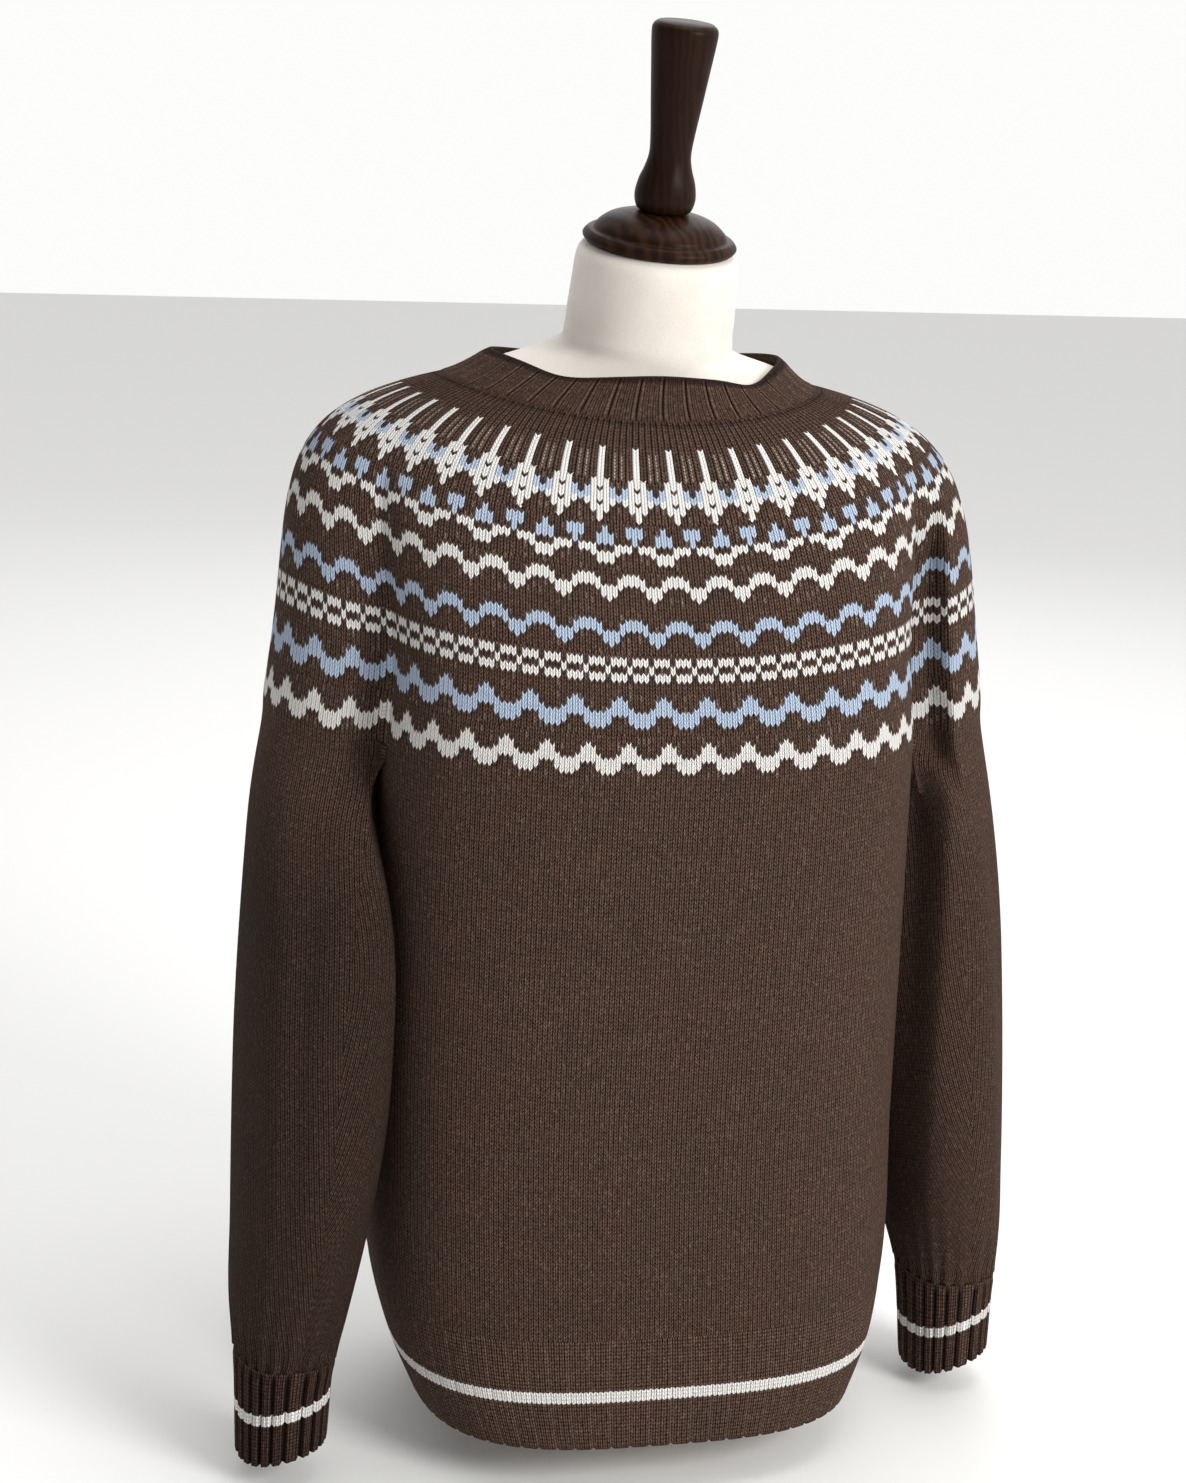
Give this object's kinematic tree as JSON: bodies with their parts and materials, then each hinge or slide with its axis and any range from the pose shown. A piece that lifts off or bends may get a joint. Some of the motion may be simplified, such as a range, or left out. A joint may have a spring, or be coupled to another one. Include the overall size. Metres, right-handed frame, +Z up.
{
  "type": "fair isle yoke sweater on a dress form",
  "caption": "Long-sleeved knitted sweater with a round patterned yoke and ribbed neck, hem and cuffs, standing on a limbless dress form with a turned wooden neck cap.",
  "frame": {"origin": "middle of the overall outline on the plane of the dress form's flat base", "axes": "+Z up from the hem to the neck, -Y the front of the sweater, +X the wearer's left"},
  "size_m": [0.5697, 0.2966, 0.976],
  "materials": {
    "neckband": "matte",
    "yoke": "matte",
    "front": "matte",
    "back": "matte",
    "hem_rib": "matte",
    "sleeve_left": "matte",
    "sleeve_right": "matte",
    "cuff_left": "matte",
    "cuff_right": "matte",
    "form_torso": "matte",
    "neck_cap": "satin",
    "cap_handle": "satin"
  },
  "bodies": {
    "root": {"neckband": "neckband", "yoke": "yoke", "front": "front", "back": "back", "hem_rib": "hem_rib", "sleeve_left": "sleeve_left", "sleeve_right": "sleeve_right", "cuff_left": "cuff_left", "cuff_right": "cuff_right", "form_torso": "form_torso", "neck_cap": "neck_cap", "cap_handle": "cap_handle"}
  },
  "joints": []
}
